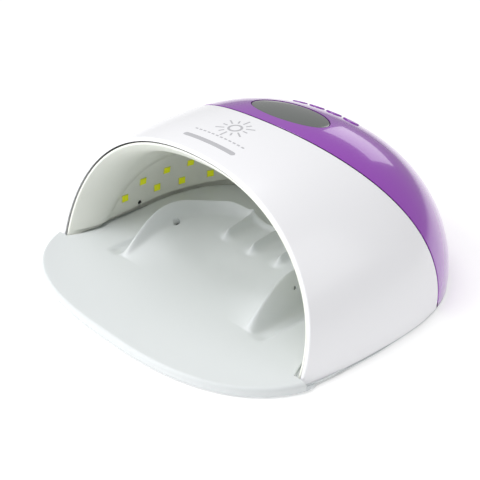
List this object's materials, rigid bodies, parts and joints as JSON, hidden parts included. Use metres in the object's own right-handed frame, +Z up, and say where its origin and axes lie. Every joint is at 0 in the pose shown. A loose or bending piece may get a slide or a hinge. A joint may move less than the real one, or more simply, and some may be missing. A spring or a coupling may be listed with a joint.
{
  "type": "uv curing lamp",
  "caption": "Domed desktop nail-gel curing lamp: pearl front shell, purple rear cover with display and timer keys, LED-lit hand cavity over a contoured hand rest.",
  "frame": {"origin": "middle of the footprint, level with the undersides of the rubber feet", "axes": "+Z up, -Y out of the hand opening towards the user, +X to the right of someone facing the opening"},
  "size_m": [0.22, 0.222, 0.0924],
  "materials": {
    "pearl_shell": "satin pearl white moulding",
    "purple_cover": "high-gloss purple moulding",
    "liner_white": "satin warm white reflector",
    "tray_white": "fine satin cool white",
    "smoked_window": "polished smoked acrylic",
    "rubber_foot": "matt black",
    "steel": "plain zinc-plated screw",
    "green_board": "solder-masked board",
    "led_strip": "white strip with yellow-green LED packages",
    "black_plastic": "plain black moulding",
    "lead_jacket": "plain wire insulation"
  },
  "bodies": {
    "lamp": {"base_screw_front_left": "steel", "base_screw_front_right": "steel", "base_screw_rear_left": "steel", "base_screw_rear_right": "steel", "base_tray": "tray_white", "board_screw_1": "steel", "board_screw_2": "steel", "board_screw_3": "steel", "board_screw_4": "steel", "bottom_plate": "tray_white", "control_board": "green_board", "dc_jack": "black_plastic", "dc_lead": "lead_jacket", "display_window": "smoked_window", "foot_front_left": "rubber_foot", "foot_front_right": "rubber_foot", "foot_rear_left": "rubber_foot", "foot_rear_right": "rubber_foot", "front_shell": "pearl_shell", "inner_liner": "liner_white", "ir_emitter": "black_plastic", "ir_receiver": "black_plastic", "lcd_module": "black_plastic", "led_board_left": "led_strip", "led_board_rear": "led_strip", "led_board_right": "led_strip", "led_lead_left": "lead_jacket", "led_lead_right": "lead_jacket", "rear_cover": "purple_cover", "sensor_lead_left": "lead_jacket", "sensor_lead_right": "lead_jacket", "switch_1": "black_plastic", "switch_2": "black_plastic", "switch_3": "black_plastic", "switch_4": "black_plastic", "tray_sensor_left": "black_plastic", "tray_sensor_right": "black_plastic"},
    "key_1": {"timer_button_1": "purple_cover", "switch_plunger_1": "black_plastic"},
    "key_2": {"timer_button_2": "purple_cover", "switch_plunger_2": "black_plastic"},
    "key_3": {"timer_button_3": "purple_cover", "switch_plunger_3": "black_plastic"},
    "key_4": {"timer_button_4": "purple_cover", "switch_plunger_4": "black_plastic"}
  },
  "joints": [
    {"name": "key_1_press", "type": "slide", "parent": "lamp", "child": "key_1", "axis": [0, -0.309, -0.9511], "range_m": [0, 0.0006], "stiffness_N_per_m": 800},
    {"name": "key_2_press", "type": "slide", "parent": "lamp", "child": "key_2", "axis": [0, -0.309, -0.9511], "range_m": [0, 0.0006], "stiffness_N_per_m": 800},
    {"name": "key_3_press", "type": "slide", "parent": "lamp", "child": "key_3", "axis": [0, -0.309, -0.9511], "range_m": [0, 0.0006], "stiffness_N_per_m": 800},
    {"name": "key_4_press", "type": "slide", "parent": "lamp", "child": "key_4", "axis": [0, -0.309, -0.9511], "range_m": [0, 0.0006], "stiffness_N_per_m": 800}
  ]
}
